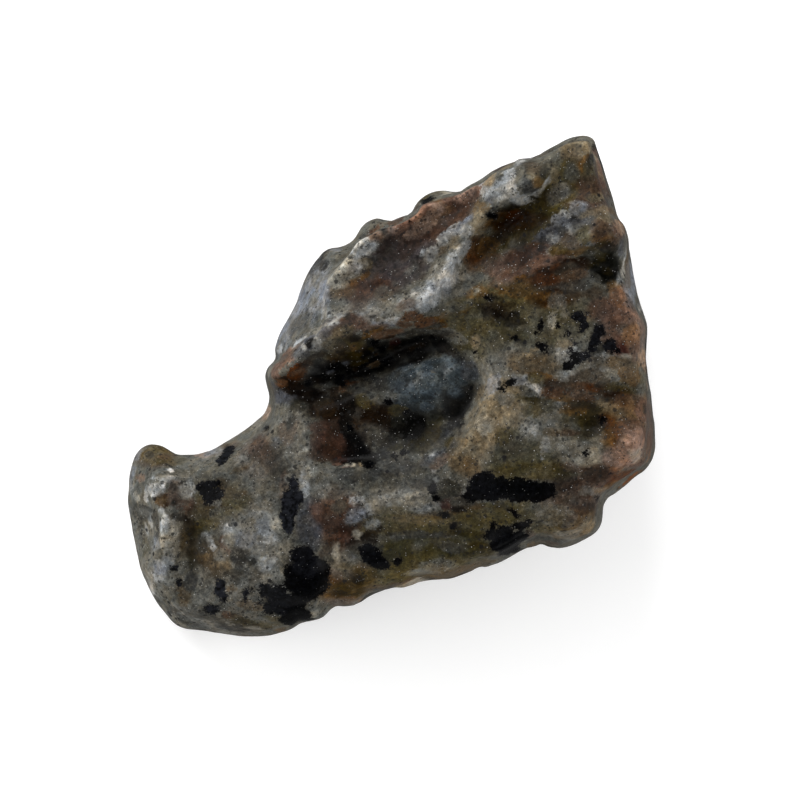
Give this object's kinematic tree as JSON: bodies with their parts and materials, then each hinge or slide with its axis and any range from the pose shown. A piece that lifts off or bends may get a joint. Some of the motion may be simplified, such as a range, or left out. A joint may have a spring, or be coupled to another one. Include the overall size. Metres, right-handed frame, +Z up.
{
  "type": "carved dragon head stone",
  "caption": "Palm-sized tumbled carving of a dragon's head in speckled grey-green stone, lying on its cheek on a small worn flat.",
  "frame": {"origin": "centre of the bounding box, at its lowest face, where the stone meets the surface", "axes": "+X from the snout to the back of the head, +Y from the jaw to the horns, +Z up out of the surface it lies on"},
  "size_m": [0.0478, 0.032, 0.0242],
  "materials": {
    "speckled_stone": "tumbled, satin"
  },
  "bodies": {
    "root": {"carved_head": "speckled_stone"}
  },
  "joints": []
}
